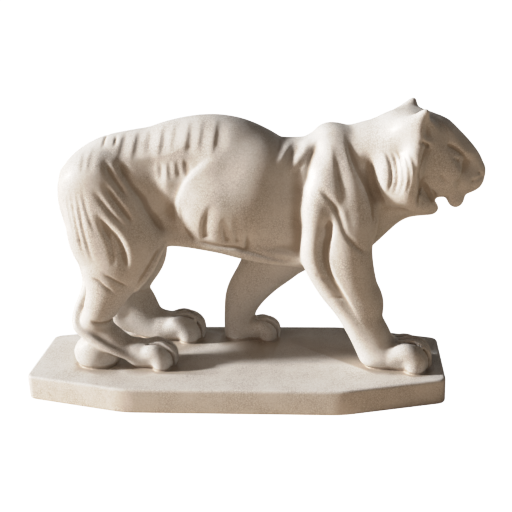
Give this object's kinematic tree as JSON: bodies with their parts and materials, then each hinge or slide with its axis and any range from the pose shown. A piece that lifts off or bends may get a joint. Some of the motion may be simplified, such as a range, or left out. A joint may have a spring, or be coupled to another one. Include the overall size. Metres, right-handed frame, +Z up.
{
  "type": "tiger sculpture",
  "caption": "Walking tiger with open jaws on a long eight-sided plinth, cast in one piece, with carved muscles and a crackled cream glaze.",
  "frame": {"origin": "centre of the plinth's underside", "axes": "+X the way the tiger walks, +Y to its left, +Z up"},
  "size_m": [0.4621, 0.157, 0.2871],
  "materials": {
    "crackled_glaze": "cream crackle glaze over pale earthenware, satin gloss"
  },
  "bodies": {
    "root": {"tiger_sculpture": "crackled_glaze"}
  },
  "joints": []
}
